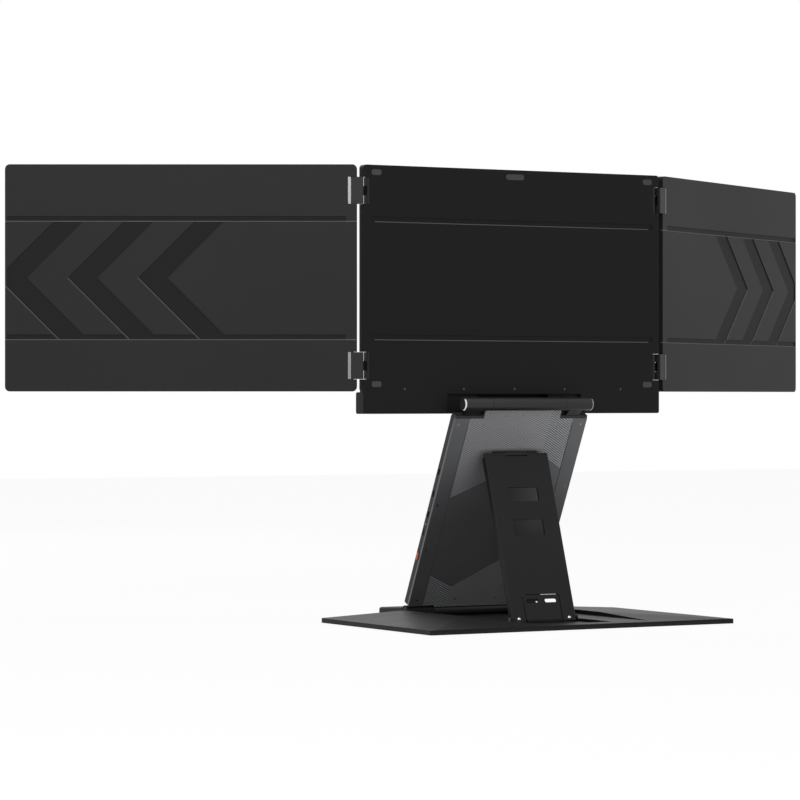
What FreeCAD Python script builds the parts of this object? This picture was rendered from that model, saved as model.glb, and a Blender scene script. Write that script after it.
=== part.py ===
import FreeCAD, Part
import math
import os

# Folding screen extender: a centre screen with two folding wings, carried by a leaning
# electronics arm, a sheet kickstand and a flat base.
# Millimetres. X runs along the screens, -Y is the side the screens face, +Z is up.
# The origin is on the table under the middle of the base plate.

V = FreeCAD.Vector

# Fits and clearances
running_gap = 0.05
seat_gap = 0.02
small_gap = 0.3
fold_gap = 0.7
far = 600.0

# Wing screens
wing_width = 358.3
screen_height = 231.3
screen_bottom = 240.9
wing_thickness = 6.5
wing_corner = 5.0
wing_rest_fold = 30.0

# Centre screen
centre_width = 364.2
centre_thickness = 8.0
centre_back_y = -24.3
centre_corner = 4.0
chin_height = 22.9
chin_thickness = 15.0

# Build of every screen, front to back
bezel_depth = 1.2
glass_depth = 0.9
panel_depth = 2.2
wing_display_border = 6.8
centre_display_border = 9.75
display_end_border = 7.95
display_margin = 0.8

# Grooves and sunk arrow bands on the backs
groove_width = 5.2
groove_depth = 0.8
groove_inset = 55.4
groove_inner_end = 11.2
groove_outer_end = 2.3
arrow_pitch = 71.6
arrow_band = 30.1
arrow_first_tip = 20.0
arrow_count = 3
arrow_depth = 0.8
centre_groove_inset = 9.2
top_lip_width = 44.0
top_lip_depth = 1.2

# Wing hinges
side_gap = 1.1
knuckle_radius = 3.4
wing_pin_radius = 1.5
hinge_inset = 26.4
hinge_height = 27.4
hinge_notch_gap = 0.3
wing_notch = 9.5
centre_notch = 7.9
block_inner = 5.4
block_outer = 7.3
tab_height = 9.6
notch_skin = 0.8
knuckle_room = 1.2
leaf_rim = 1.8
leaf_sheet = 0.7
leaf_plate = 2.8
block_corner = 0.8

# Small parts on the centre back
corner_pad_length = 11.5
corner_pad_height = 6.0
top_pad_length = 21.8
pad_inset = 15.5
pad_from_edge = 7.5
pad_proud = 0.6
pad_seat = 0.5
chin_screw_radius = 1.3
chin_screw_above = 2.7
chin_screw_depth = 2.0
chin_screw_pitches = (-132.8, -62.0, 0.0, 62.0, 132.8)

# Hinge link between the arm and the centre screen
link_axis_y = 0.1
link_axis_z = 227.9
barrel_radius = 6.8
barrel_half = 77.2
middle_half = 44.3
web_thickness = 7.0
chin_axis_depth = 7.0
chin_barrel_radius = 5.0
chin_barrel_half = 43.0
chin_pin_radius = 2.0
chin_pin_reach = 12.0
chin_recess_top = 238.4
chin_end_recess = 4.0
chin_pin_hold = 9.0
chin_corner = 2.5
board_room = (95.0, 160.0)
board_room_low = 221.0
board_room_high = 237.0
board_room_depth = 7.0
barrel_pin_radius = 2.5
barrel_pin_reach = 17.3
barrel_pin_cover = 6.0
end_cap_width = 1.3
end_cap_bevel = 0.9

# Electronics arm
arm_lean = 25.9
arm_axis_y = -113.9
arm_axis_z = 9.8
arm_half = 81.0
arm_thickness = 9.2
arm_split = 1.0
arm_wall = 1.6
arm_side_bottom = 8.4
arm_mid_bottom = 6.0
arm_top = 228.0
arm_tab_half = 46.6
arm_tab_height_z = 221.8
lug_inner = 54.0
lug_outer = 70.0
lug_thickness = 5.0
lug_bar = 3.0
board_thickness = 1.2
board_post = 1.0
board_post_radius = 2.2
board_post_x = 56.0
board_post_heights = (39.5, 198.0)
port_heights = (163.6, 138.1, 113.8)
port_length = 9.0
port_width = 3.2
port_depth = 7.4
video_port_height = 92.0
video_port_length = 7.6
light_height = 102.0
light_radius = 0.8
button_height = 64.5
button_length = 8.6
button_width = 3.4
button_proud = 1.0
button_travel = 0.8
button_depth = 3.2
arm_screw_radius = 1.5
arm_screw_pairs = ((72.0, 14.0), (25.0, 15.0), (75.0, 221.0), (45.0, 221.0))
port_side_screws = (74.0, 127.0)
plain_side_screws = (74.0, 148.0)
side_screw_x = 76.0
tab_screws = (-20.0, 0.0, 20.0)
tab_screw_above = 3.0
band_width = 17.0
band_groove = 0.5

# Base hinge at the arm's foot
base_knuckle_radius = 5.6
base_knuckle_half = 47.7
base_pin_radius = 2.5
base_pin_reach = 16.0

# Kickstand
kick_axis_up = 188.4
kick_axis_behind = 7.9
kick_foot_y = 30.2
kick_foot_z = 7.3
kick_half = 38.6
kick_sheet = 2.0
kick_outer = 3.0
kick_flange = 3.4
kick_pin_radius = 1.6
kick_knuckle_radius = 3.0
kick_leaf_half = 26.0
kick_middle_half = 12.7
kick_tip = 3.8
kick_leaf_height = 16.0
kick_leaf_sheet = 1.2
window_half = 18.6
window_one = (44.9, 15.2)
window_two = (81.1, 17.6)
window_corner = 1.5
foot_cut_half = 22.8
foot_cut_height = 25.1
foot_cut_corner = 4.0
foot_block = (24.0, 36.4)
foot_block_depth = 2.4
foot_block_rise = 7.0
foot_bolt_x = 30.7
foot_bolt_up = -0.9
foot_bolt_shank = 1.2
foot_bolt_reach = 1.1
foot_bolt_radius = 2.4

# Foot bracket
bracket_half = 21.8
bracket_sheet = 2.0
bracket_lead = 0.8
bracket_corner = 3.5
ear_sheet = 1.8
strip_front = -12.0
strip_rear = -5.0
strip_sheet = 2.0
ear_radius = 3.6
foot_pin_radius = 1.6
slot_offset = 11.4
slot_length = 14.8
slot_height = 4.1
slot_up = 18.0
sole_front = -6.0
sole_rear = 6.5
sole_pad = 0.8

# Base plate
base_width = 365.4
base_depth = 225.2
base_corner = 2.5
foot_pad = 0.6
plate_sheet = 2.4
side_rim_z = 5.4
rear_rim_z = 5.6
ridge_z = 10.3
ridge_from_rear = 102.0
recess_side_gap = 1.2
recess_floor_z = 6.1
pocket_half = 42.0
pocket_end_y = 72.0
pocket_ramp = 24.0
tongue_front_y = -173.0
tongue_rear_y = -120.6
tongue_high = 13.6
tongue_low = 10.6
tongue_corner = 7.0
tongue_edge = 2.5
hinge_block_inner = 48.3
hinge_block_front = -119.9
hinge_block_rear = -107.9
rubber_length = 40.0
rubber_width = 9.0
rubber_inset = 12.0
base_screw_radius = 2.4

# Places that follow from the sizes
screen_top = screen_bottom + screen_height
centre_front_y = centre_back_y - centre_thickness
chin_bottom = screen_bottom - chin_height
chin_axis_y = centre_back_y - chin_axis_depth
left_axis_front = fold_gap / 2
right_axis_front = left_axis_front + (wing_thickness + fold_gap) / 2
wing_axis_x = centre_width / 2 + side_gap
hinge_heights = (screen_bottom + hinge_inset, screen_top - hinge_inset)
recess_half = arm_half + recess_side_gap
base_rear_y = base_depth / 2
base_front_y = -base_depth / 2
plate_top_z = foot_pad + plate_sheet
foot_bolt_end = kick_outer - foot_bolt_reach


def box(x0, x1, y0, y1, z0, z1):
    low = V(min(x0, x1), min(y0, y1), min(z0, z1))
    return Part.makeBox(abs(x1 - x0), abs(y1 - y0), abs(z1 - z0), low)


def rod_x(radius, x0, x1, y=0.0, z=0.0):
    return Part.makeCylinder(radius, abs(x1 - x0), V(min(x0, x1), y, z), V(1, 0, 0))


def rod_y(radius, y0, y1, x=0.0, z=0.0):
    return Part.makeCylinder(radius, abs(y1 - y0), V(x, min(y0, y1), z), V(0, 1, 0))


def rod_z(radius, z0, z1, x=0.0, y=0.0):
    return Part.makeCylinder(radius, abs(z1 - z0), V(x, y, min(z0, z1)), V(0, 0, 1))


def fuse(solids):
    whole = solids[0]
    for solid in solids[1:]:
        whole = whole.fuse(solid)
    return whole.removeSplitter()


def cut(body, tools):
    for tool in tools:
        body = body.cut(tool)
    return body


def plate_y(points, y0, y1):
    """A flat plate: an outline of (x, z) points, thick from y0 to y1."""
    corners = [V(x, min(y0, y1), z) for x, z in points]
    face = Part.Face(Part.makePolygon(corners + [corners[0]]))
    return face.extrude(V(0, abs(y1 - y0), 0))


def bar_x(points, x0, x1):
    """A bar along X with a section of (y, z) points."""
    corners = [V(min(x0, x1), y, z) for y, z in points]
    face = Part.Face(Part.makePolygon(corners + [corners[0]]))
    return face.extrude(V(abs(x1 - x0), 0, 0))


def bar_y(points, y0, y1):
    """A bar along Y with a section of (x, z) points."""
    return plate_y(points, y0, y1)


def plate_z(points, z0, z1):
    """A flat plate: an outline of (x, y) points, thick from z0 to z1."""
    corners = [V(x, y, min(z0, z1)) for x, y in points]
    face = Part.Face(Part.makePolygon(corners + [corners[0]]))
    return face.extrude(V(0, 0, abs(z1 - z0)))


def edges_along(shape, direction):
    found = []
    for edge in shape.Edges:
        if not isinstance(edge.Curve, Part.Line):
            continue
        if abs(abs(edge.Curve.Direction.dot(direction)) - 1) < 1e-6:
            found.append(edge)
    return found


def soft_box(x0, x1, y0, y1, z0, z1, radius, direction):
    """A box whose four edges along one direction are rounded."""
    solid = box(x0, x1, y0, y1, z0, z1)
    return solid.makeFillet(radius, edges_along(solid, direction))


def slot_x(length, width, x0, x1, y, z):
    """A round-ended bar along X, long in Z."""
    reach = (length - width) / 2
    ends = [rod_x(width / 2, x0, x1, y, z - reach), rod_x(width / 2, x0, x1, y, z + reach)]
    return fuse(ends + [box(x0, x1, y - width / 2, y + width / 2, z - reach, z + reach)])


def turn(shape, base, axis, degrees):
    moved = shape.copy()
    moved.rotate(base, axis, degrees)
    return moved


def mirror_x(shape):
    return shape.mirror(V(0, 0, 0), V(1, 0, 0))


def both_sides(shape):
    return [shape, mirror_x(shape)]


def save(name, solids):
    if not isinstance(solids, list):
        solids = [solids]
    whole = []
    for item in solids:
        whole.extend(item.Solids)
    Part.makeCompound(whole).exportStep("parts/" + name + ".step")



# Screens, made flat in a frame with x outward and y backward from the hinge axis
def arrow_bands(edge, back, low, high):
    """Cutters for the sunk arrow bands that point to the free end at x = edge."""
    middle = (low + high) / 2
    reach = (high - low) / 2
    field = box(0, edge, back - arrow_depth, back + 1, low, high)
    bands = []
    for count in range(arrow_count):
        near = edge - arrow_first_tip - count * arrow_pitch
        far = near + arrow_band
        outline = [(near - reach, low), (near, middle), (near - reach, high)]
        outline += [(far - reach, high), (far, middle), (far - reach, low)]
        bands.append(plate_y(outline, back - arrow_depth, back + 1).common(field))
    return bands


def grooves(x0, x1, back):
    """Cutters for the two long grooves across a screen's back."""
    tools = []
    for height in (screen_bottom + groove_inset, screen_top - groove_inset):
        tools.append(box(x0, x1, back - groove_depth, back + 1, height - groove_width / 2,
                         height + groove_width / 2))
    return tools


def top_lip(middle, front):
    """Cutter for the finger lip in a screen's top edge."""
    half = top_lip_width / 2
    return box(middle - half, middle + half, front - 1, front + bezel_depth + top_lip_depth,
               screen_top - top_lip_depth, screen_top + 1)


def display_window(x0, x1, border, grow):
    """The display's rectangle inside its border, grown on each side."""
    low = screen_bottom + display_end_border - grow
    return (x0 + border - grow, x1 - border + grow, low, screen_top - display_end_border + grow)


def screen_cover(x0, x1, front, back, low, corner, border):
    """The back cover of a screen, hollow behind its window."""
    behind = front + bezel_depth
    solid = soft_box(x0, x1, behind, back, low, screen_top, corner, V(0, 1, 0))
    left, right, bottom, top = display_window(x0, x1, border, display_margin)
    return solid.cut(box(left, right, behind - 1, behind + panel_depth + small_gap, bottom, top))


def screen_bezel(x0, x1, front, low, corner, border):
    """The front frame round the display."""
    solid = soft_box(x0, x1, front, front + bezel_depth, low, screen_top, corner, V(0, 1, 0))
    left, right, bottom, top = display_window(x0, x1, border, 0)
    return solid.cut(box(left, right, front - 1, front + bezel_depth + 1, bottom, top))


def screen_glass(x0, x1, front, border):
    left, right, bottom, top = display_window(x0, x1, border, -seat_gap)
    behind = front + bezel_depth
    return box(left, right, behind - glass_depth, behind, bottom, top)


def screen_panel(x0, x1, front, border):
    left, right, bottom, top = display_window(x0, x1, border, display_margin - small_gap)
    behind = front + bezel_depth
    return box(left, right, behind, behind + panel_depth, bottom, top)


# Wing hinges
def notch_floor(front):
    """How deep the back notch of a wing goes, just behind its display panel."""
    return front + bezel_depth + panel_depth + small_gap + notch_skin


def hinge_block(front):
    """The knuckle block that carries a wing, round its own axis."""
    back = front + wing_thickness - seat_gap
    half = hinge_height / 2
    block = box(-block_inner, block_outer, 1.0, back, -half, half)
    corners = []
    for edge in edges_along(block, V(0, 0, 1)):
        if edge.CenterOfMass.y > back - 0.1:
            corners.append(edge)
    block = block.makeFillet(block_corner, corners)
    block = fuse([block, rod_z(knuckle_radius, -half, half)])
    slot = tab_height / 2 + small_gap
    tab_back = front + leaf_plate + small_gap + 0.1
    edge_of_wing = knuckle_radius + knuckle_room - small_gap
    return cut(block, [
        box(-block_inner - 1, knuckle_radius + small_gap, -knuckle_radius - 1, tab_back, -slot, slot),
        box(edge_of_wing, block_outer + 1, 0, notch_floor(front), -half - 1, half + 1),
        rod_z(wing_pin_radius + seat_gap, -half - 1, half + 1)])


def hinge_leaf(front):
    """The bright leaf that ties the block to the wing, with a raised outer rim."""
    half = hinge_height / 2
    floor = notch_floor(front)
    outer = side_gap + wing_notch - small_gap
    rim = box(outer - leaf_rim, outer, floor, front + wing_thickness - 0.3, -half, half)
    web = box(block_outer, outer, floor, floor + leaf_sheet, -half, half)
    return fuse([rim, web])


def fixed_leaf(front):
    """The centre screen's leaf: a plate in the notch and a tab to the pin."""
    half = hinge_height / 2
    wall = -side_gap - centre_notch
    root = wall + leaf_plate
    face = front + 0.1
    plate = box(wall, root, face, front + centre_thickness - 0.4, -half, half)
    reach = tab_height / 2
    radius = knuckle_radius - 0.2
    tab_back = front + leaf_plate
    tab_front = min(face, 0.45)
    outline = [(wall + 0.5, tab_back), (wall + 0.5, face), (root, face), (root + 0.2, tab_front),
               (0, tab_front - 0.5), (0, radius * 0.95), (-radius, tab_back)]
    tab = plate_z(outline, -reach, reach)
    leaf = fuse([plate, tab, rod_z(radius, -reach, reach)])
    return leaf.cut(rod_z(wing_pin_radius + running_gap, -reach - 1, reach + 1))


def wing(front):
    """One wing with its hinges, flat, with its front face at y = front."""
    back = front + wing_thickness
    inner = side_gap
    outer = side_gap + wing_width
    middle = (inner + outer) / 2
    cover = screen_cover(inner, outer, front, back, screen_bottom, wing_corner, wing_display_border)
    bezel = screen_bezel(inner, outer, front, screen_bottom, wing_corner, wing_display_border)
    cover = cut(cover, grooves(inner + groove_inner_end, outer - groove_outer_end, back))
    low = screen_bottom + groove_inset + groove_width / 2
    high = screen_top - groove_inset - groove_width / 2
    cover = cut(cover, arrow_bands(outer - groove_outer_end, back, low, high))
    lip = top_lip(middle, front)
    pieces = {"cover": cover.cut(lip), "bezel": bezel.cut(lip)}
    pieces["glass"] = screen_glass(inner, outer, front, wing_display_border)
    pieces["panel"] = screen_panel(inner, outer, front, wing_display_border)
    half = hinge_height / 2
    room = half + hinge_notch_gap
    for name in ("blocks", "leaves", "pins", "fixed"):
        pieces[name] = []
    for height in hinge_heights:
        low, high = height - room, height + room
        edge_room = box(inner - 1, knuckle_radius + knuckle_room, front - 1, back + 1, low, high)
        back_room = box(inner - 1, inner + wing_notch, notch_floor(front), back + 1, low, high)
        pieces["cover"] = cut(pieces["cover"], [edge_room, back_room])
        pieces["bezel"] = pieces["bezel"].cut(edge_room)
        place = V(0, 0, height)
        pieces["blocks"].append(hinge_block(front).translated(place))
        pieces["leaves"].append(hinge_leaf(front).translated(place))
        pieces["fixed"].append(fixed_leaf(front).translated(place))
        pieces["pins"].append(rod_z(wing_pin_radius, height - half, height + half))
    return pieces


def save_wing(side, front, sign):
    """Places one wing at its rest fold and saves its pieces."""
    axis = V(sign * wing_axis_x, centre_front_y - front, 0)
    for name, solids in wing(front).items():
        solids = solids if isinstance(solids, list) else [solids]
        placed = []
        for solid in solids:
            if sign < 0:
                solid = mirror_x(solid)
            solid = solid.translated(axis)
            if name != "fixed":
                solid = turn(solid, axis, V(0, 0, -sign), wing_rest_fold)
            placed.append(solid)
        save(WING_NODES[name] % side, placed)


WING_NODES = {"cover": "%s_wing_cover", "bezel": "%s_wing_bezel", "glass": "%s_wing_glass",
              "panel": "%s_wing_display_panel", "blocks": "%s_wing_hinge_blocks",
              "leaves": "%s_wing_hinge_leaves", "pins": "%s_wing_hinge_pins",
              "fixed": "%s_centre_hinge_leaves"}


# Centre screen
def chin():
    """The thick lower edge with the recess that the hinge link turns in."""
    half = centre_width / 2
    front = centre_back_y - chin_thickness
    top = screen_bottom - fold_gap
    solid = box(-half, half, front, centre_back_y, chin_bottom, top)
    rounded = []
    for edge in edges_along(solid, V(1, 0, 0)):
        if edge.CenterOfMass.z < chin_bottom + 1 or edge.CenterOfMass.y < front + 1:
            rounded.append(edge)
    return solid.makeFillet(chin_corner, rounded)


def chin_recess():
    """Cutters: a shallow recess for the barrel and a deep middle for the link."""
    below = chin_bottom - 1
    depth = chin_axis_depth + chin_barrel_radius + small_gap * 2
    middle = chin_barrel_half + small_gap
    return [box(-recess_half, recess_half, centre_back_y - chin_end_recess, centre_back_y + 1, below,
                chin_recess_top),
            box(-middle, middle, centre_back_y - depth, centre_back_y + 1, below, chin_recess_top)]


def pad_places():
    """Centres and half lengths of the five rubber pads on the centre's back."""
    side = centre_width / 2 - pad_inset
    high = screen_top - pad_from_edge
    low = screen_bottom + pad_from_edge
    corner = corner_pad_length / 2
    places = [(x, z, corner) for x in (-side, side) for z in (low, high)]
    return places + [(0, high, top_pad_length / 2)]


def pad_solid(x, z, half, y0, y1):
    return soft_box(x - half, x + half, y0, y1, z - corner_pad_height / 2, z + corner_pad_height / 2,
                    corner_pad_height / 2 - 0.4, V(0, 1, 0))


def save_centre():
    half = centre_width / 2
    front, back = centre_front_y, centre_back_y
    border = centre_display_border
    cover = screen_cover(-half, half, front, back, chin_bottom, centre_corner, border)
    cover = fuse([cover, chin()])
    tools = chin_recess()
    tools += grooves(-half + centre_groove_inset, half - centre_groove_inset, back)
    tools.append(top_lip(0, front))
    bezel = screen_bezel(-half, half, front, screen_bottom - fold_gap, centre_corner, border)
    bezel = bezel.cut(top_lip(0, front))
    room = hinge_height / 2 + hinge_notch_gap
    for height in hinge_heights:
        notch = box(half - centre_notch, half + 1, front - 1, back + 1, height - room, height + room)
        tools += both_sides(notch)
        bezel = cut(bezel, both_sides(notch))
    pads = []
    for x, z, reach in pad_places():
        pads.append(pad_solid(x, z, reach, back - pad_seat, back + pad_proud))
        tools.append(pad_solid(x, z, reach, back - pad_seat, back + 1))
    screws = []
    for x in chin_screw_pitches:
        height = screen_bottom + chin_screw_above
        tools.append(rod_y(chin_screw_radius + seat_gap, back - chin_screw_depth, back + 1, x, height))
        screw = rod_y(chin_screw_radius, back - chin_screw_depth, back - 0.3, x, height)
        screws.append(screw)
    inside, outside = board_room
    room_back = centre_back_y - chin_thickness + chin_corner + board_room_depth
    room_front = room_back - board_room_depth
    tools.append(box(inside, outside, room_front, room_back, board_room_low, board_room_high))
    board = box(inside + small_gap, outside - small_gap, room_front, room_front + board_thickness,
                board_room_low + small_gap, board_room_high - small_gap)
    save("chin_driver_board", board)
    pin_end = chin_barrel_half + small_gap + chin_pin_hold
    pin_start = chin_barrel_half - chin_pin_reach
    pins = both_sides(rod_x(chin_pin_radius, pin_start, pin_end, chin_axis_y, link_axis_z))
    tools += both_sides(rod_x(chin_pin_radius + seat_gap, pin_start, pin_end, chin_axis_y, link_axis_z))
    save("centre_cover", cut(cover, tools))
    save("centre_bezel", bezel)
    save("centre_glass", screen_glass(-half, half, front, border))
    save("centre_display_panel", screen_panel(-half, half, front, border))
    save("centre_back_pads", pads)
    save("centre_back_screws", screws)
    save("chin_hinge_pins", pins)


# Hinge link and barrel
def save_link():
    """The middle barrel, the web and the small barrel that turns in the chin."""
    barrel = rod_x(barrel_radius, -middle_half, middle_half, link_axis_y, link_axis_z)
    small = rod_x(chin_barrel_radius, -chin_barrel_half, chin_barrel_half, chin_axis_y, link_axis_z)
    half = chin_barrel_half
    web = box(-half, half, chin_axis_y, link_axis_y, link_axis_z - web_thickness / 2,
              link_axis_z + web_thickness / 2)
    link = fuse([barrel, web, small])
    bores = []
    for sign in (-1, 1):
        bores.append(rod_x(barrel_pin_radius + running_gap, sign * (middle_half - barrel_pin_reach),
                           sign * (middle_half + 1), link_axis_y, link_axis_z))
        bores.append(rod_x(chin_pin_radius + running_gap, sign * (chin_barrel_half - chin_pin_reach),
                           sign * (chin_barrel_half + 1), chin_axis_y, link_axis_z))
    save("hinge_link", cut(link, bores))


# Electronics arm, made upright about its base hinge and then leaned back
arm_base = V(0, arm_axis_y, arm_axis_z)
arm_back = arm_thickness / 2
arm_front = -arm_thickness / 2
arm_split_y = arm_back - arm_wall - arm_split
port_y = (arm_split_y + arm_front) / 2


def lean(shape):
    """Moves a piece from the arm's own frame to its place on the base."""
    return turn(shape.translated(arm_base), arm_base, V(1, 0, 0), -arm_lean)


def in_arm(y, z):
    """A point of the whole object, given in the arm's own frame."""
    angle = math.radians(arm_lean)
    dy, dz = y - arm_axis_y, z - arm_axis_z
    return (dy * math.cos(angle) - dz * math.sin(angle), dy * math.sin(angle) + dz * math.cos(angle))


barrel_y, barrel_z = in_arm(link_axis_y, link_axis_z)


def arm_outline(y0, y1, inset):
    """The arm's stepped outline, thick from y0 to y1, drawn in by inset."""
    side = arm_half - inset
    tab = arm_tab_half - inset
    foot = base_knuckle_half - inset
    top = arm_top - inset
    points = [(-foot, arm_mid_bottom + inset), (foot, arm_mid_bottom + inset),
              (foot, arm_side_bottom + inset), (side, arm_side_bottom + inset), (side, top),
              (tab, top), (tab, barrel_z), (-tab, barrel_z), (-tab, top), (-side, top),
              (-side, arm_side_bottom + inset), (-foot, arm_side_bottom + inset)]
    solid = plate_y(points, y0, y1)
    lower = lean(solid)
    lower = lower.cut(box(-far, far, -far, far, arm_tab_height_z - inset, far))
    return turn(lower, arm_base, V(1, 0, 0), arm_lean).translated(arm_base * -1)


def arm_ports():
    """Cutters for the sockets, the light and the button in the arm's +X edge."""
    edge = arm_half
    inside = edge - port_depth
    tools = []
    for height in port_heights:
        tools.append(slot_x(port_length, port_width, inside, edge + 1, port_y, height))
    tools.append(slot_x(video_port_length, port_width * 0.7, inside, edge + 1, port_y,
                        video_port_height))
    tools.append(rod_x(light_radius, edge - arm_wall - 1, edge + 1, port_y, light_height))
    tools.append(slot_x(button_length + 0.3, button_width + 0.3, inside, edge + 1, port_y,
                        button_height))
    return tools


def save_arm():
    cavity_back = arm_back - arm_wall
    cavity_front = arm_front + arm_wall
    shell = arm_outline(arm_split_y, arm_back, 0)
    hollow = arm_outline(arm_split_y, cavity_back, arm_wall + 1)
    shell = shell.cut(hollow)
    front = arm_outline(arm_front, arm_split_y, 0)
    front = front.cut(arm_outline(cavity_front, arm_split_y, arm_wall + 1))
    edge_block = box(arm_half - port_depth - 1.5, arm_half - 0.5, cavity_front, arm_split_y,
                     button_height - 12, port_heights[0] + 10)
    front = fuse([front, edge_block])
    front = cut(front, arm_ports())
    band = arm_half - band_width
    top_of_band = arm_top - 6
    for x in (-band, band):
        shell = shell.cut(box(x - 0.4, x + 0.4, arm_back - band_groove, arm_back + 1,
                              arm_side_bottom + 6, top_of_band))
    screws = []
    for x, z in arm_screw_places():
        seat = rod_y(arm_screw_radius + seat_gap, cavity_back + 0.4, arm_back + 1, x, z)
        shell = shell.cut(seat)
        screws.append(rod_y(arm_screw_radius, cavity_back + 0.4, arm_back - 0.2, x, z))
    board_y = cavity_front + board_post
    board = arm_outline(board_y, board_y + board_thickness, arm_wall + 1.6)
    board = board.cut(box(arm_half - port_depth - 2.5, arm_half, arm_front, arm_back, 0, arm_top))
    posts = []
    for x in (-board_post_x, board_post_x):
        for z in board_post_heights:
            posts.append(rod_y(board_post_radius, cavity_front, cavity_front + board_post, x, z))
    front = fuse([front] + posts)
    save("arm_back_shell", lean(shell))
    save("arm_front_cover", lean(front))
    save("arm_main_board", lean(board))
    save("arm_back_screws", [lean(s) for s in screws])
    save_ports()
    save_button()
    save_arm_hinges()


def arm_screw_places():
    """Screws over the back: down the sides, along the foot and on the top tab."""
    places = [(sign * x, z) for sign in (-1, 1) for x, z in arm_screw_pairs]
    places += [(side_screw_x, z) for z in port_side_screws]
    places += [(-side_screw_x, z) for z in plain_side_screws]
    return places + [(x, arm_top + tab_screw_above) for x in tab_screws]


def save_ports():
    edge = arm_half
    inside = edge - port_depth
    shells = []
    tongues = []
    for height in port_heights:
        outer = slot_x(port_length - 0.04, port_width - 0.04, inside, edge - 0.3, port_y, height)
        inner = slot_x(port_length - 0.7, port_width - 0.7, inside + 0.6, edge + 1, port_y, height)
        shells.append(lean(outer.cut(inner)))
        tongue = box(inside + 0.6, edge - 1.2, port_y - 0.35, port_y + 0.35, height - 3.1, height + 3.1)
        tongues.append(lean(tongue))
    width = port_width * 0.7
    outer = slot_x(video_port_length - 0.04, width - 0.04, inside, edge - 0.3, port_y,
                   video_port_height)
    inner = slot_x(video_port_length - 0.7, width - 0.7, inside + 0.6, edge + 1, port_y,
                   video_port_height)
    shells.append(lean(outer.cut(inner)))
    light = rod_x(light_radius - seat_gap, edge - arm_wall - 1, edge, port_y, light_height)
    save("port_shells", shells)
    save("port_tongues", tongues)
    save("status_light", lean(light))


def save_button():
    back = arm_half + button_proud - button_depth
    cap = slot_x(button_length, button_width, back, arm_half + button_proud, port_y, button_height)
    switch = box(arm_half - port_depth, back - button_travel - 0.1, port_y - 1.4, port_y + 1.4,
                 button_height - 2.2, button_height + 2.2)
    save("power_button", lean(cap))
    save("button_switch", lean(switch))


def save_arm_hinges():
    """Top lugs with the end barrels, their pins and rings, and the foot knuckle."""
    lugs = []
    caps = []
    pins = []
    start = middle_half + small_gap
    bar_side = small_gap
    for sign in (-1, 1):
        barrel = rod_x(barrel_radius, sign * start, sign * barrel_half, barrel_y, barrel_z)
        lug_section = [(-lug_thickness / 2, arm_top), (lug_thickness / 2, arm_top),
                       (barrel_y + 3, barrel_z - 2), (barrel_y - 3, barrel_z + 2)]
        lug = bar_x(lug_section, sign * lug_inner, sign * lug_outer)
        bar = box(sign * (arm_tab_half + bar_side), sign * (arm_half - bar_side), arm_front + 0.4,
                  arm_back - 0.4, arm_top, arm_top + lug_bar)
        pin_end = sign * (barrel_half - barrel_pin_cover)
        bore = rod_x(barrel_pin_radius + seat_gap, sign * (start - 1), pin_end, barrel_y, barrel_z)
        lugs.append(lean(fuse([barrel, lug, bar]).cut(bore)))
        cap_end = sign * (barrel_half + end_cap_width)
        cap = rod_x(barrel_radius, sign * barrel_half, cap_end, barrel_y, barrel_z)
        rim = [e for e in cap.Edges if isinstance(e.Curve, Part.Circle)
               and abs(e.CenterOfMass.x - cap_end) < 0.01]
        caps.append(lean(cap.makeChamfer(end_cap_bevel, rim)))
        pins.append(lean(rod_x(barrel_pin_radius, sign * (middle_half - barrel_pin_reach),
                               pin_end, barrel_y, barrel_z)))
    save("arm_top_lugs", lugs)
    save("barrel_end_caps", caps)
    save("barrel_pins", pins)
    knuckle = rod_x(base_knuckle_radius, -base_knuckle_half, base_knuckle_half)
    neck = box(-base_knuckle_half, base_knuckle_half, arm_front + 0.8, arm_back - 0.8, 0, arm_mid_bottom)
    knuckle = fuse([knuckle, neck])
    knuckle = knuckle.cut(box(-far, far, -far, far, arm_mid_bottom, far))
    bores = []
    for sign in (-1, 1):
        bores.append(rod_x(base_pin_radius + running_gap, sign * (base_knuckle_half - base_pin_reach),
                           sign * (base_knuckle_half + 1)))
    save("arm_foot_knuckle", lean(cut(knuckle, bores)))


# Kickstand, made upright about its top axis and then leaned forward
def arm_point(y, z):
    """A point of the arm's own frame, given on the whole object."""
    angle = math.radians(arm_lean)
    return (arm_axis_y + y * math.cos(angle) + z * math.sin(angle),
            arm_axis_z - y * math.sin(angle) + z * math.cos(angle))


kick_y, kick_z = arm_point(kick_axis_behind, kick_axis_up)
kick_length = math.hypot(kick_y - kick_foot_y, kick_z - kick_foot_z)
kick_lean = math.degrees(math.atan2(kick_foot_y - kick_y, kick_z - kick_foot_z))
kick_top = V(0, kick_y, kick_z)


def lean_kick(shape):
    return turn(shape.translated(kick_top), kick_top, V(1, 0, 0), kick_lean)


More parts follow.
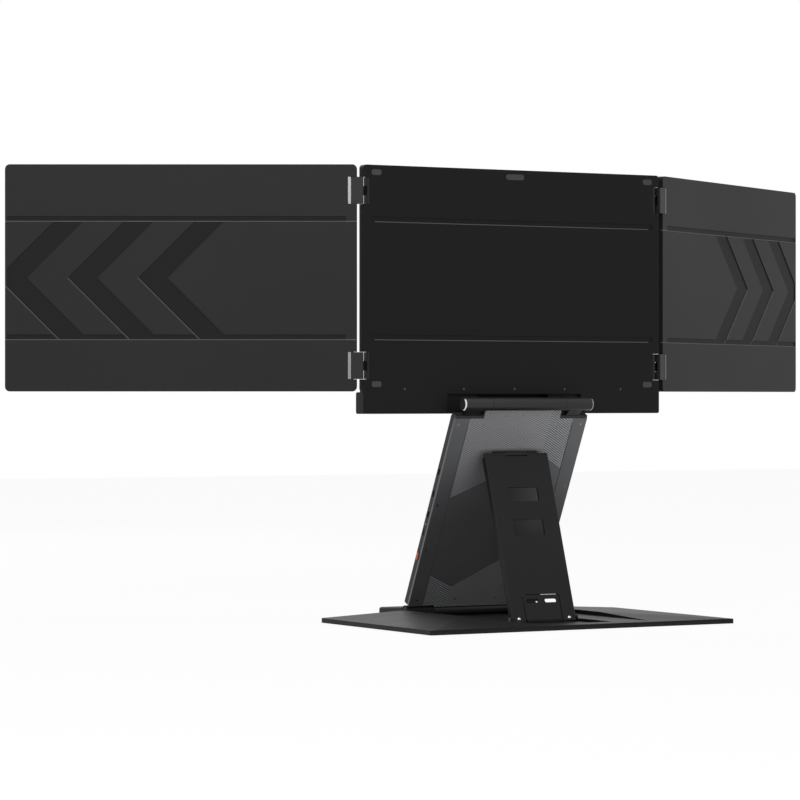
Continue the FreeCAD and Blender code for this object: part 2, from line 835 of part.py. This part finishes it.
def save_kickstand():
    half = kick_half
    top = kick_knuckle_radius
    bottom = -kick_length
    inner = kick_outer - kick_sheet
    sheet = box(-half, half, inner, kick_outer, bottom - kick_tip, 0)
    sheet = sheet.makeFillet(0.9, [e for e in sheet.Edges if abs(e.CenterOfMass.x) > half - 0.01
                                   and e.CenterOfMass.y > kick_outer - 0.01
                                   and isinstance(e.Curve, Part.Line)
                                   and abs(e.Curve.Direction.z) > 0.9])
    notch = kick_leaf_half + small_gap
    sheet = sheet.cut(box(-notch, notch, -far, far, -top - small_gap, far))
    pieces = [sheet]
    for sign in (-1, 1):
        flange = box(sign * (half - kick_sheet), sign * half, -kick_flange, kick_outer - 1.0,
                     bottom, -top - 1.0)
        end = rod_x(kick_flange, sign * (half - kick_sheet), sign * half, 0, bottom)
        pieces += [flange, end]
    for sign in (-1, 1):
        near = sign * (kick_middle_half + small_gap)
        knuckle = rod_x(top, near, sign * kick_leaf_half)
        neck = box(near, sign * kick_leaf_half, inner, kick_outer, -top - 1.0, 0)
        pieces += [knuckle, neck]
    plate = fuse(pieces)
    tools = [rod_x(kick_pin_radius + running_gap, -kick_leaf_half, kick_leaf_half)]
    for down, height in (window_one, window_two):
        tools.append(soft_box(-window_half, window_half, 0, kick_outer + 1, -down - height / 2,
                              -down + height / 2, window_corner, V(0, 1, 0)))
    tools.append(soft_box(-foot_cut_half, foot_cut_half, 0, kick_outer + 1, bottom - 20,
                          bottom + foot_cut_height, foot_cut_corner, V(0, 1, 0)))
    for sign in (-1, 1):
        tools.append(rod_x(foot_pin_radius + running_gap, sign * (foot_block[0] - 1),
                           sign * (half + 1), 0, bottom))
        tools.append(rod_y(foot_bolt_shank, foot_bolt_end, kick_outer + 1, sign * foot_bolt_x,
                           bottom + foot_bolt_up))
    save("kickstand_plate", lean_kick(cut(plate, tools)))
    bolts = []
    for sign in (-1, 1):
        head = Part.makeSphere(foot_bolt_radius, V(sign * foot_bolt_x, kick_outer - 1.4,
                                                   bottom + foot_bolt_up))
        head = head.common(box(-far, far, kick_outer, far, -far, far))
        shank = rod_y(foot_bolt_shank - seat_gap, foot_bolt_end, kick_outer, sign * foot_bolt_x,
                      bottom + foot_bolt_up)
        bolts.append(lean_kick(fuse([head, shank])))
    save("foot_bolts", bolts)
    save("foot_hinge_blocks", foot_blocks())
    save_kick_leaf()


def foot_blocks():
    """The blocks inside the legs that the foot pins turn in."""
    blocks = []
    for sign in (-1, 1):
        block = box(sign * foot_block[0], sign * foot_block[1], -foot_block_depth,
                    kick_outer - kick_sheet, -kick_length - foot_block_depth,
                    -kick_length + foot_block_rise)
        bore = rod_x(foot_pin_radius + running_gap, sign * (foot_block[0] - 1),
                     sign * (foot_block[1] + 1), 0, -kick_length)
        blocks.append(lean_kick(block.cut(bore)))
    return blocks


def save_kick_leaf():
    """The leaf on the arm's back that holds the kickstand's pin."""
    y, z = kick_axis_behind, kick_axis_up
    back = arm_back
    outer = kick_leaf_half
    leaf = box(-outer, outer, back, back + kick_leaf_sheet, z - kick_leaf_height,
               z - kick_knuckle_radius - small_gap)
    middle = kick_middle_half
    knuckle = rod_x(kick_knuckle_radius, -middle, middle, y, z)
    neck = box(-middle, middle, back, y, z - kick_knuckle_radius - 1, z)
    whole = fuse([leaf, knuckle, neck])
    whole = whole.cut(rod_x(kick_pin_radius + seat_gap, -outer, outer, y, z))
    save("kickstand_hinge_leaf", lean(whole))
    save("kickstand_hinge_pin", lean(rod_x(kick_pin_radius, -outer, outer, y, z)))


# Foot bracket
def save_bracket():
    y, z = kick_foot_y, kick_foot_z
    low = plate_top_z + small_gap + sole_pad
    inner = kick_outer - bracket_sheet
    head = -kick_length + foot_cut_height - bracket_lead
    up = box(-bracket_half, bracket_half, inner, kick_outer, -kick_length - kick_flange, head)
    corners = [e for e in edges_along(up, V(0, 1, 0)) if e.CenterOfMass.z > head - 1]
    up = up.makeFillet(bracket_corner, corners)
    for sign in (-1, 1):
        middle = -kick_length + slot_up
        up = up.cut(soft_box(sign * slot_offset - slot_length / 2, sign * slot_offset + slot_length / 2,
                             0, far, middle - slot_height / 2, middle + slot_height / 2,
                             slot_height / 2 - 0.05, V(0, 1, 0)))
    up = lean_kick(up)
    outside = kick_half + small_gap + ear_sheet
    sole = box(-bracket_half, bracket_half, y + strip_front, y + sole_rear, low, low + strip_sheet)
    strip = box(-outside, outside, y + strip_front, y + strip_rear, low, low + strip_sheet)
    pieces = [up, sole, strip]
    ears = []
    for sign in (-1, 1):
        x0 = sign * (kick_half + small_gap)
        x1 = sign * outside
        ears.append(rod_x(ear_radius, x0, x1, y, z))
        ears.append(box(x0, x1, y + strip_front, y, low, z - 1))
    pieces += ears
    bracket = fuse(pieces)
    bracket = bracket.cut(box(-far, far, -far, far, -far, low))
    for sign in (-1, 1):
        bore = rod_x(foot_pin_radius + seat_gap, sign * (kick_half - 5), sign * (kick_half + 10), y, z)
        bracket = bracket.cut(bore)
    save("foot_bracket", bracket)
    pins = []
    for sign in (-1, 1):
        pins.append(rod_x(foot_pin_radius, sign * (foot_block[0] + 1),
                          sign * (kick_half + small_gap + ear_sheet), y, z))
    save("foot_pins", pins)
    pad = box(-bracket_half, bracket_half, y + sole_front, y + sole_rear, low - sole_pad, low)
    save("foot_sole_pad", pad)


# Base
def base_top_solid():
    """The moulded top: sloping from the rims up to the recess, like a hipped roof."""
    half = base_width / 2
    low = plate_top_z
    section = [(-half, low), (half, low), (half, side_rim_z), (recess_half, ridge_z),
               (-recess_half, ridge_z), (-half, side_rim_z)]
    solid = bar_y(section, base_front_y, base_rear_y)
    slope = [(base_rear_y - ridge_from_rear, ridge_z), (base_rear_y + 1, rear_rim_z),
             (base_rear_y + 1, ridge_z + 5), (base_rear_y - ridge_from_rear, ridge_z + 5)]
    solid = solid.cut(bar_x(slope, -half - 1, half + 1))
    return solid.makeFillet(base_corner, edges_along_corner(solid, half))


def edges_along_corner(solid, half):
    found = []
    for edge in edges_along(solid, V(0, 0, 1)):
        if abs(abs(edge.CenterOfMass.x) - half) < 0.01:
            found.append(edge)
    return found


def save_base():
    half = base_width / 2
    top = base_top_solid()
    recess = box(-recess_half, recess_half, base_front_y - 1, base_rear_y + 1, recess_floor_z, 30)
    ramp_end = pocket_end_y + pocket_ramp
    pocket = bar_x([(base_front_y - 1, plate_top_z - 1), (pocket_end_y, plate_top_z - 1),
                    (pocket_end_y, plate_top_z), (ramp_end, recess_floor_z), (ramp_end, 20),
                    (base_front_y - 1, 20)], -pocket_half, pocket_half)
    hinge_room = box(-recess_half, recess_half, base_front_y - 1, hinge_block_rear + small_gap,
                     plate_top_z - 1, 30)
    top = cut(top, [recess, pocket, hinge_room])
    sheet = soft_box(-half, half, base_front_y, base_rear_y, foot_pad, plate_top_z, base_corner,
                     V(0, 0, 1))
    tongue_sheet = soft_box(-arm_half, arm_half, tongue_front_y, base_front_y + 20, foot_pad,
                            plate_top_z, tongue_corner, V(0, 0, 1))
    sheet = fuse([sheet, tongue_sheet])
    screws = []
    for x in (-half + 30, -recess_half - 20, recess_half + 20, half - 30):
        for y in (base_front_y + 25, base_rear_y - 25):
            seat = rod_z(base_screw_radius + seat_gap, foot_pad - 1, plate_top_z + 0.5, x, y)
            sheet = sheet.cut(seat)
            top = top.cut(seat)
            screws.append(rod_z(base_screw_radius, foot_pad + 0.2, plate_top_z + 0.5, x, y))
    save("base_top_cover", top)
    save("base_steel_plate", sheet)
    save("base_screws", screws)
    save_tongue()
    save_hinge_blocks()
    save_feet()


def save_tongue():
    section = [(tongue_front_y, plate_top_z), (tongue_rear_y, plate_top_z),
               (tongue_rear_y, tongue_high), (tongue_front_y, tongue_low)]
    solid = bar_x(section, -arm_half, arm_half)
    corners = []
    for edge in edges_along(solid, V(0, 0, 1)):
        if edge.CenterOfMass.y < tongue_front_y + 1:
            corners.append(edge)
    solid = solid.makeFillet(tongue_corner, corners)
    rounded = []
    for edge in solid.Edges:
        if edge.CenterOfMass.z > tongue_low - 0.2 and edge.CenterOfMass.y < tongue_front_y + 8:
            rounded.append(edge)
    solid = solid.makeFillet(tongue_edge, rounded)
    save("front_tongue", solid)


def save_hinge_blocks():
    """The two blocks on the base that hold the arm's hinge pins."""
    blocks = []
    pins = []
    for sign in (-1, 1):
        x0, x1 = sign * hinge_block_inner, sign * arm_half
        body = box(x0, x1, hinge_block_front, hinge_block_rear, plate_top_z, arm_axis_z)
        round_top = rod_x(base_knuckle_radius, x0, x1, arm_axis_y, arm_axis_z)
        block = fuse([body, round_top])
        hold = sign * (hinge_block_inner + 20)
        bore = rod_x(base_pin_radius + seat_gap, sign * (hinge_block_inner - 1), hold, arm_axis_y,
                     arm_axis_z)
        blocks.append(block.cut(bore))
        pins.append(rod_x(base_pin_radius, sign * (base_knuckle_half - base_pin_reach + 1), hold,
                          arm_axis_y, arm_axis_z))
    save("base_hinge_blocks", blocks)
    save("base_hinge_pins", pins)


def save_feet():
    half = base_width / 2 - rubber_inset
    feet = []
    for x in (-half + rubber_length / 2, half - rubber_length / 2):
        for y in (base_front_y + rubber_inset, base_rear_y - rubber_inset):
            feet.append(soft_box(x - rubber_length / 2, x + rubber_length / 2, y - rubber_width / 2,
                                 y + rubber_width / 2, 0, foot_pad, rubber_width / 2 - 0.1, V(0, 0, 1)))
    y = tongue_front_y + rubber_inset + 4
    feet.append(soft_box(-rubber_length, rubber_length, y - rubber_width / 2, y + rubber_width / 2, 0,
                         foot_pad, rubber_width / 2 - 0.1, V(0, 0, 1)))
    feet.append(soft_box(-rubber_length / 2, rubber_length / 2, -rubber_width, rubber_width, 0,
                         foot_pad, rubber_width / 2 - 0.1, V(0, 0, 1)))
    save("base_rubber_feet", feet)


os.makedirs("parts", exist_ok=True)
save_wing("left", left_axis_front, 1)
save_wing("right", right_axis_front, -1)
save_centre()
save_link()
save_arm()
save_kickstand()
save_bracket()
save_base()
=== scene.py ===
import bmesh
import bpy
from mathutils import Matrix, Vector

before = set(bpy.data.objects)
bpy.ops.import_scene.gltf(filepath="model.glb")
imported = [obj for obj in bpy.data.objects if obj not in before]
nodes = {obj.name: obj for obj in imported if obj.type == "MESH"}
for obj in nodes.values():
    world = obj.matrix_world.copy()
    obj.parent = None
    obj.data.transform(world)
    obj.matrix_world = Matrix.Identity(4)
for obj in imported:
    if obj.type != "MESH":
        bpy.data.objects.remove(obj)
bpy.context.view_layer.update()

# Places on the object, in millimetres
hinge_height = 356.55
arm_foot_y, arm_foot_z = -113.9, 9.8
arm_up_y, arm_up_z = 0.4368, 0.8996
groove_edges = (293.7, 414.2)
band_edges = (224.0, 295.6, 367.2)
ridge_pitch = 2.4
ridge_half_width = 63.0
centre_back = -24.3


class Value:
    """A socket that adds its own Math nodes when Python does sums with it."""

    def __init__(self, material, socket):
        self.material, self.socket = material, socket

    def math(self, operation, *others, clamp=False):
        return self.material.node("ShaderNodeMath", {"operation": operation, "use_clamp": clamp},
                                  {i: v for i, v in enumerate((self,) + others)})

    def __add__(self, other):
        return self.math("ADD", other)

    def __sub__(self, other):
        return self.math("SUBTRACT", other)

    def __mul__(self, other):
        return self.math("MULTIPLY", other)

    def __truediv__(self, other):
        return self.math("DIVIDE", other)

    def __rsub__(self, other):
        return (self * -1.0) + other

    __radd__, __rmul__ = __add__, __mul__

    def clamp(self):
        return self.math("ADD", 0.0, clamp=True)

    def least(self, other):
        return self.math("MINIMUM", other)

    def most(self, other):
        return self.math("MAXIMUM", other)

    def near(self, place, half, soft):
        """1 within half of place, falling to 0 over soft."""
        away = (self - place).math("ABSOLUTE")
        return ((half + soft - away) / soft).clamp()

    def over(self, start, soft):
        """0 before start, rising to 1 over soft."""
        return ((self - start) / soft).clamp()


class Finish:
    """One material: its shader, its object coordinates and the ways to add nodes."""

    def __init__(self, name, **constants):
        self.material = bpy.data.materials.new(name)
        self.material.use_nodes = True
        self.tree = self.material.node_tree
        self.shader = self.tree.nodes["Principled BSDF"]
        for socket, value in constants.items():
            self.shader.inputs[socket.replace("_", " ")].default_value = value
        self.place = self.node("ShaderNodeTexCoord", output="Object")

    def node(self, kind, settings=None, inputs=None, output=0):
        made = self.tree.nodes.new(kind)
        for key, value in (settings or {}).items():
            setattr(made, key, value)
        for key, value in (inputs or {}).items():
            self.feed(made.inputs[key], value)
        return Value(self, made.outputs[output])

    def feed(self, socket, value):
        if isinstance(value, Value):
            self.tree.links.new(value.socket, socket)
        else:
            socket.default_value = value

    def axes(self):
        """The three coordinates in millimetres."""
        made = self.tree.nodes.new("ShaderNodeSeparateXYZ")
        self.feed(made.inputs[0], self.place)
        return [Value(self, made.outputs[i]) * 1000.0 for i in range(3)]

    def noise(self, scale, detail=4.0, rough=0.55, stretch=None):
        place = self.place
        if stretch:
            place = self.node("ShaderNodeMapping", None, {"Vector": place, "Scale": stretch})
        return self.node("ShaderNodeTexNoise", None,
                         {"Vector": place, "Scale": scale, "Detail": detail, "Roughness": rough})

    def mix(self, factor, first, second):
        made = self.tree.nodes.new("ShaderNodeMix")
        made.data_type = "RGBA"
        self.feed(made.inputs[0], factor)
        self.feed(made.inputs[6], first)
        self.feed(made.inputs[7], second)
        return Value(self, made.outputs[2])

    def colour(self, value):
        self.feed(self.shader.inputs["Base Color"], value)

    def roughness(self, value):
        self.feed(self.shader.inputs["Roughness"], value)

    def bump(self, height, distance, strength=1.0):
        bumped = self.node("ShaderNodeBump", None,
                           {"Height": height, "Distance": distance, "Strength": strength})
        self.feed(self.shader.inputs["Normal"], bumped)


def grey(level, blue=0.0):
    """A linear colour from an 8-bit grey."""
    part = level / 255
    linear = ((part + 0.055) / 1.055) ** 2.4 if part > 0.04045 else part / 12.92
    return (linear, linear * (1 + blue * 0.3), linear * (1 + blue), 1)


def speckled(name, level, blue=0.05, spread=0.10, grain=1900.0, rough=0.55, rough_spread=0.12, depth=0.00003,
             cloud=6.0, **constants):
    """A fine-grained finish with slow cloudy changes of tone, and bump from the grain."""
    constants.setdefault("Specular_IOR_Level", 0.15)
    finish = Finish(name, **constants)
    fine = finish.noise(grain, 3.0, 0.6)
    slow = finish.noise(cloud, 4.0, 0.5)
    tone = fine * 0.35 + slow * 0.65
    dark, light = grey(level * (1 - spread), blue), grey(level * (1 + spread), blue)
    finish.colour(finish.mix(tone.over(0.3, 0.4), dark, light))
    finish.roughness((slow * rough_spread * 2 + (rough - rough_spread)) + fine * 0.06)
    finish.bump(fine, depth, 0.35)
    return finish


def brushed(name, level, direction, rough=0.28, depth=0.00002, metal=1.0):
    """Metal with fine lines along one direction."""
    finish = Finish(name, Metallic=metal)
    stretch = tuple(60.0 if i == direction else 2600.0 for i in range(3))
    lines = finish.noise(1.0, 3.0, 0.6, stretch)
    slow = finish.noise(30.0, 3.0)
    finish.colour(finish.mix(lines * 0.5 + slow * 0.5, grey(level * 0.86), grey(min(level * 1.08, 250))))
    finish.roughness(lines * 0.16 + (rough - 0.06))
    finish.bump(lines, depth, 0.3)
    return finish


def groove_highlight_lines(height):
    """Painted highlight lines along the lower edges of the two long grooves."""
    return height.near(groove_edges[0], 0.25, 0.25).most(height.near(groove_edges[1], 0.25, 0.25))


def screen_back(name, level, side=0, hinge_x=0.0, hinge_y=0.0, back=0.0):
    """A cover's fine spark texture with painted highlights along the lower groove edges and the lower legs
    of a wing's band edges. A wing's sunk bands are darker and rougher.
    """
    finish = Finish(name)
    finish.shader.inputs["Specular IOR Level"].default_value = 0.12
    fine = finish.noise(2600.0, 2.0, 0.7)
    slow = finish.noise(5.0, 3.0)
    tone = finish.mix((fine * 0.45 + slow * 0.55).over(0.32, 0.36), grey(level * 0.92, 0.03),
                      grey(level * 1.08, 0.03))
    rough = fine * 0.10 + slow * 0.12 + 0.38
    if side:
        x, y, z = finish.axes()
        across = (x - hinge_x) * side
        along = across * 0.866 - (y - hinge_y) * 0.5
        depth = across * 0.5 + (y - hinge_y) * 0.866
        sunk = depth.near(back - 1.4, 1.0, 0.15)
        tone = finish.mix(sunk * 0.8, tone, grey(level * 0.62, 0.03))
        chevron = along + (z - hinge_height).math("ABSOLUTE")
        below = (1 - z.over(hinge_height, 0.5)) * z.over(groove_edges[0], 0.3)
        edge_highlights = groove_highlight_lines(z)
        for place in band_edges:
            edge_highlights = edge_highlights.most(chevron.near(place, 0.3, 0.3) * below)
        painted_highlight = edge_highlights * depth.over(back - 2.5, 0.3)
        rough = rough + sunk * 0.10
    else:
        x, y, z = finish.axes()
        painted_highlight = groove_highlight_lines(z) * x.near(0.0, 168.0, 0.5) * y.over(centre_back - 2.5, 0.3)
    # Painted highlight: a light grey line on the lower edges of the grooves and bands, where light would
    # catch them.
    tone = finish.mix(painted_highlight * 0.75, tone, grey(128, 0.02))
    finish.colour(tone)
    finish.roughness(rough)
    finish.bump(fine, 0.00004, 0.4)
    return finish


def arm_back_finish():
    """Dark blasted metal with two fields of fine ridges that run parallel to the fields' slanting edges."""
    finish = Finish("arm_ridged_metal", Metallic=0.55)
    x, y, z = finish.axes()
    fine = finish.noise(2400.0, 2.0, 0.6)
    slow = finish.noise(7.0, 3.0)
    height = (y - arm_foot_y) * arm_up_y + (z - arm_foot_z) * arm_up_z
    top = height - ((ridge_half_width - x) * 0.5 + 136.0).least((x + 35.7) * 0.59 + 185.4)
    bottom = ((x - 34.0) * 0.49).most((34.0 - x) * 0.61) + 29.5 - height
    field = top.most(bottom)
    line = (field / ridge_pitch).math("FRACT").near(0.5, 0.16, 0.18)
    ridge = line * field.over(0.0, 0.4) * x.near(0.0, ridge_half_width, 0.5)
    base = finish.mix((fine * 0.4 + slow * 0.6).over(0.3, 0.4), grey(96, 0.06), grey(114, 0.06))
    finish.colour(finish.mix(ridge * 0.9, base, grey(172, 0.05)))
    finish.roughness(fine * 0.1 + slow * 0.14 + 0.34 - ridge * 0.05)
    finish.bump(fine * 0.08 + ridge, 0.00025, 0.7)
    return finish


def board_finish():
    """Green lacquer over fine copper tracks."""
    finish = Finish("circuit_board", Roughness=0.35)
    along = finish.axes()[0]
    tracks = (along * 0.5 + finish.noise(60.0) * 3.0).math("FRACT").near(0.5, 0.16, 0.1)
    finish.colour(finish.mix(tracks, (0.006, 0.055, 0.024, 1), (0.02, 0.12, 0.05, 1)))
    finish.bump(tracks, 0.00004, 0.5)
    return finish


def button_finish():
    """Orange moulding with a slightly uneven sheen."""
    finish = Finish("orange_button")
    fine, slow = finish.noise(1800.0), finish.noise(120.0)
    finish.colour(finish.mix(slow * 0.6 + fine * 0.4, (0.62, 0.11, 0.012, 1), (0.86, 0.20, 0.025, 1)))
    finish.roughness(fine * 0.12 + 0.3)
    finish.bump(fine, 0.00002, 0.3)
    return finish


finishes = {
    # The three covers are one moulding. Their greys differ (left 46, right 36, centre 26) as painted light
    # and shade, for how each panel faces the lamps.
    "left_back": screen_back("moulded_back_left", 46, 1, 183.2, -32.65, 6.85),
    "right_back": screen_back("moulded_back_right", 36, -1, -183.2, -36.25, 10.45),
    "centre_back": screen_back("moulded_back_centre", 26),
    "bezel": speckled("bezel_black_moulding", 24, 0.0, 0.12, 2400.0, 0.5),
    "display": speckled("dark_display_layer", 20, 0.15, 0.10, 900.0, 0.18, 0.03, 0.000005),
    "glass": speckled("cover_glass", 16, 0.2, 0.08, 300.0, 0.08, 0.02, 0.000002, Coat_Weight=0.6,
                       Specular_IOR_Level=0.5),
    "hinge": speckled("coated_hinge_casting", 46, 0.04, 0.12, 1700.0, 0.42, 0.08, 0.00003, Metallic=0.4),
    "link": speckled("coated_barrel", 60, 0.04, 0.12, 1700.0, 0.34, 0.08, 0.00003, Metallic=0.5),
    "leaf": brushed("bright_leaf", 128, 2),
    "pin": brushed("ground_pin", 186, 2, 0.2),
    "silver": brushed("polished_ring", 222, 0, 0.16),
    "bolt": brushed("domed_bolt", 205, 2, 0.22),
    "arm_screw": brushed("grey_arm_screw", 132, 2, 0.3),
    "centre_screw": brushed("dark_screw", 74, 2, 0.22),
    "arm": arm_back_finish(),
    "arm_front": speckled("arm_front_metal", 54, 0.08, 0.10, 2000.0, 0.42, 0.1, 0.00003, Metallic=0.5),
    "board": board_finish(),
    "port": brushed("plated_socket", 200, 0, 0.24),
    "tongue": speckled("socket_tongue", 22, 0.0, 0.15, 2200.0, 0.5),
    "light": speckled("light_guide", 210, 0.02, 0.05, 800.0, 0.25),
    "kick": speckled("coated_kickstand", 40, 0.06, 0.10, 2100.0, 0.44, 0.1, 0.00003, Metallic=0.45),
    "base": speckled("coated_base", 30, 0.05, 0.08, 2200.0, 0.46, 0.1, 0.00003, Metallic=0.3),
    "plate": speckled("coated_steel_sheet", 36, 0.03, 0.12, 1800.0, 0.5, 0.1, 0.00003, Metallic=0.3),
    "rubber": speckled("black_rubber", 30, 0.0, 0.15, 1500.0, 0.8, 0.08, 0.00005),
    "pad": speckled("grey_rubber", 84, 0.02, 0.08, 1500.0, 0.75, 0.08, 0.00005),
    "button": button_finish(),
}

node_finish = {
    "base_steel_plate": "plate", "base_top_cover": "base", "base_screws": "bolt", "front_tongue": "base",
    "base_hinge_blocks": "base", "base_hinge_pins": "pin", "base_rubber_feet": "rubber",
    "arm_back_shell": "arm", "arm_front_cover": "arm_front", "arm_main_board": "board",
    "arm_back_screws": "arm_screw", "port_shells": "port", "port_tongues": "tongue", "status_light": "light",
    "button_switch": "tongue", "arm_top_lugs": "link", "barrel_end_caps": "silver", "barrel_pins": "pin",
    "arm_foot_knuckle": "arm_front", "kickstand_hinge_leaf": "hinge", "kickstand_hinge_pin": "pin",
    "power_button": "button", "kickstand_plate": "kick", "foot_bolts": "bolt", "foot_hinge_blocks": "hinge",
    "foot_bracket": "kick", "foot_pins": "pin", "foot_sole_pad": "rubber", "hinge_link": "link",
    "centre_cover": "centre_back", "centre_bezel": "bezel", "centre_glass": "glass",
    "centre_display_panel": "display", "centre_back_pads": "pad", "centre_back_screws": "centre_screw",
    "chin_hinge_pins": "pin", "chin_driver_board": "board",
    "left_centre_hinge_leaves": "hinge", "right_centre_hinge_leaves": "hinge",
}
for wing in ("left", "right"):
    node_finish.update({
        wing + "_wing_cover": wing + "_back", wing + "_wing_bezel": "bezel", wing + "_wing_glass": "glass",
        wing + "_wing_display_panel": "display", wing + "_wing_hinge_blocks": "hinge",
        wing + "_wing_hinge_leaves": "leaf", wing + "_wing_hinge_pins": "pin"})
for name, chosen in node_finish.items():
    mesh = nodes[name].data
    mesh.materials.clear()
    mesh.materials.append(finishes[chosen].material)


# Floor, light and camera
def seen_rays(tree, share):
    """A factor that is share for camera, glossy and transmission rays, and 0 for all others."""
    path = tree.nodes.new("ShaderNodeLightPath")
    total = path.outputs["Is Camera Ray"]
    for kind in ("Is Glossy Ray", "Is Transmission Ray"):
        both = tree.nodes.new("ShaderNodeMath")
        both.operation = "MAXIMUM"
        tree.links.new(total, both.inputs[0])
        tree.links.new(path.outputs[kind], both.inputs[1])
        total = both.outputs[0]
    part = tree.nodes.new("ShaderNodeMath")
    part.operation = "MULTIPLY"
    part.inputs[1].default_value = share
    tree.links.new(total, part.inputs[0])
    return part.outputs[0]


def floor_material():
    """Pale matt floor. It keeps the object's shadow and reads as white where no shadow falls."""
    material = bpy.data.materials.new("studio_floor")
    material.use_nodes = True
    tree = material.node_tree
    shader = tree.nodes["Principled BSDF"]
    shader.inputs["Base Color"].default_value = (0.9, 0.9, 0.9, 1)
    shader.inputs["Roughness"].default_value = 0.9
    shader.inputs["Specular IOR Level"].default_value = 0.0
    white = tree.nodes.new("ShaderNodeEmission")
    white.inputs["Strength"].default_value = 1.04
    mix = tree.nodes.new("ShaderNodeMixShader")
    tree.links.new(seen_rays(tree, 0.9), mix.inputs[0])
    tree.links.new(shader.outputs[0], mix.inputs[1])
    tree.links.new(white.outputs[0], mix.inputs[2])
    tree.links.new(mix.outputs[0], tree.nodes["Material Output"].inputs["Surface"])
    return material


def plane(name, size, z):
    mesh = bpy.data.meshes.new(name)
    shape = bmesh.new()
    bmesh.ops.create_grid(shape, x_segments=2, y_segments=2, size=size)
    shape.to_mesh(mesh)
    shape.free()
    made = bpy.data.objects.new(name, mesh)
    made.location.z = z
    bpy.context.scene.collection.objects.link(made)
    return made


floor = plane("studio_floor", 6.0, -0.0002)
floor.data.materials.append(floor_material())

world = bpy.data.worlds.new("studio")
bpy.context.scene.world = world
world.use_nodes = True
world_tree = world.node_tree
soft = world_tree.nodes["Background"]
soft.inputs["Color"].default_value = (1, 1, 1, 1)
soft.inputs["Strength"].default_value = 0.2
backdrop = world_tree.nodes.new("ShaderNodeBackground")
backdrop.inputs["Color"].default_value = (1, 1, 1, 1)
backdrop.inputs["Strength"].default_value = 1.0
both = world_tree.nodes.new("ShaderNodeMixShader")
world_tree.links.new(seen_rays(world_tree, 1.0), both.inputs[0])
world_tree.links.new(soft.outputs[0], both.inputs[1])
world_tree.links.new(backdrop.outputs[0], both.inputs[2])
world_tree.links.new(both.outputs[0], world_tree.nodes["World Output"].inputs["Surface"])


def lamp(name, place, target, size, power):
    light = bpy.data.lights.new(name, "AREA")
    light.shape = "SQUARE"
    light.size = size
    light.energy = power
    made = bpy.data.objects.new(name, light)
    made.location = place
    made.rotation_euler = (Vector(target) - Vector(place)).to_track_quat("-Z", "Y").to_euler()
    bpy.context.scene.collection.objects.link(made)


lamp("key_light", (1.9, 2.3, 1.3), (0.1, 0, 0.3), 1.1, 28)
lamp("top_light", (0.2, 0.4, 2.4), (0, 0, 0.2), 1.6, 10)
lamp("side_light", (-2.4, 0.3, 0.8), (-0.2, 0, 0.3), 1.0, 3)
lamp("front_fill", (0.0, -2.2, 1.4), (0, 0, 0.3), 1.6, 10)

camera = bpy.data.cameras.new("photo_camera")
camera.lens = 155.7
camera.sensor_width = 36
camera.shift_y = -0.0056
camera.clip_start, camera.clip_end = 0.05, 60
eye = bpy.data.objects.new("photo_camera", camera)
eye.location = (1.9193, 3.0400, 0.2368)
eye.rotation_euler = Vector((-0.5024, -0.8646, 0)).to_track_quat("-Z", "Y").to_euler()
bpy.context.scene.collection.objects.link(eye)
bpy.context.scene.camera = eye
bpy.context.scene.view_settings.view_transform = "Standard"
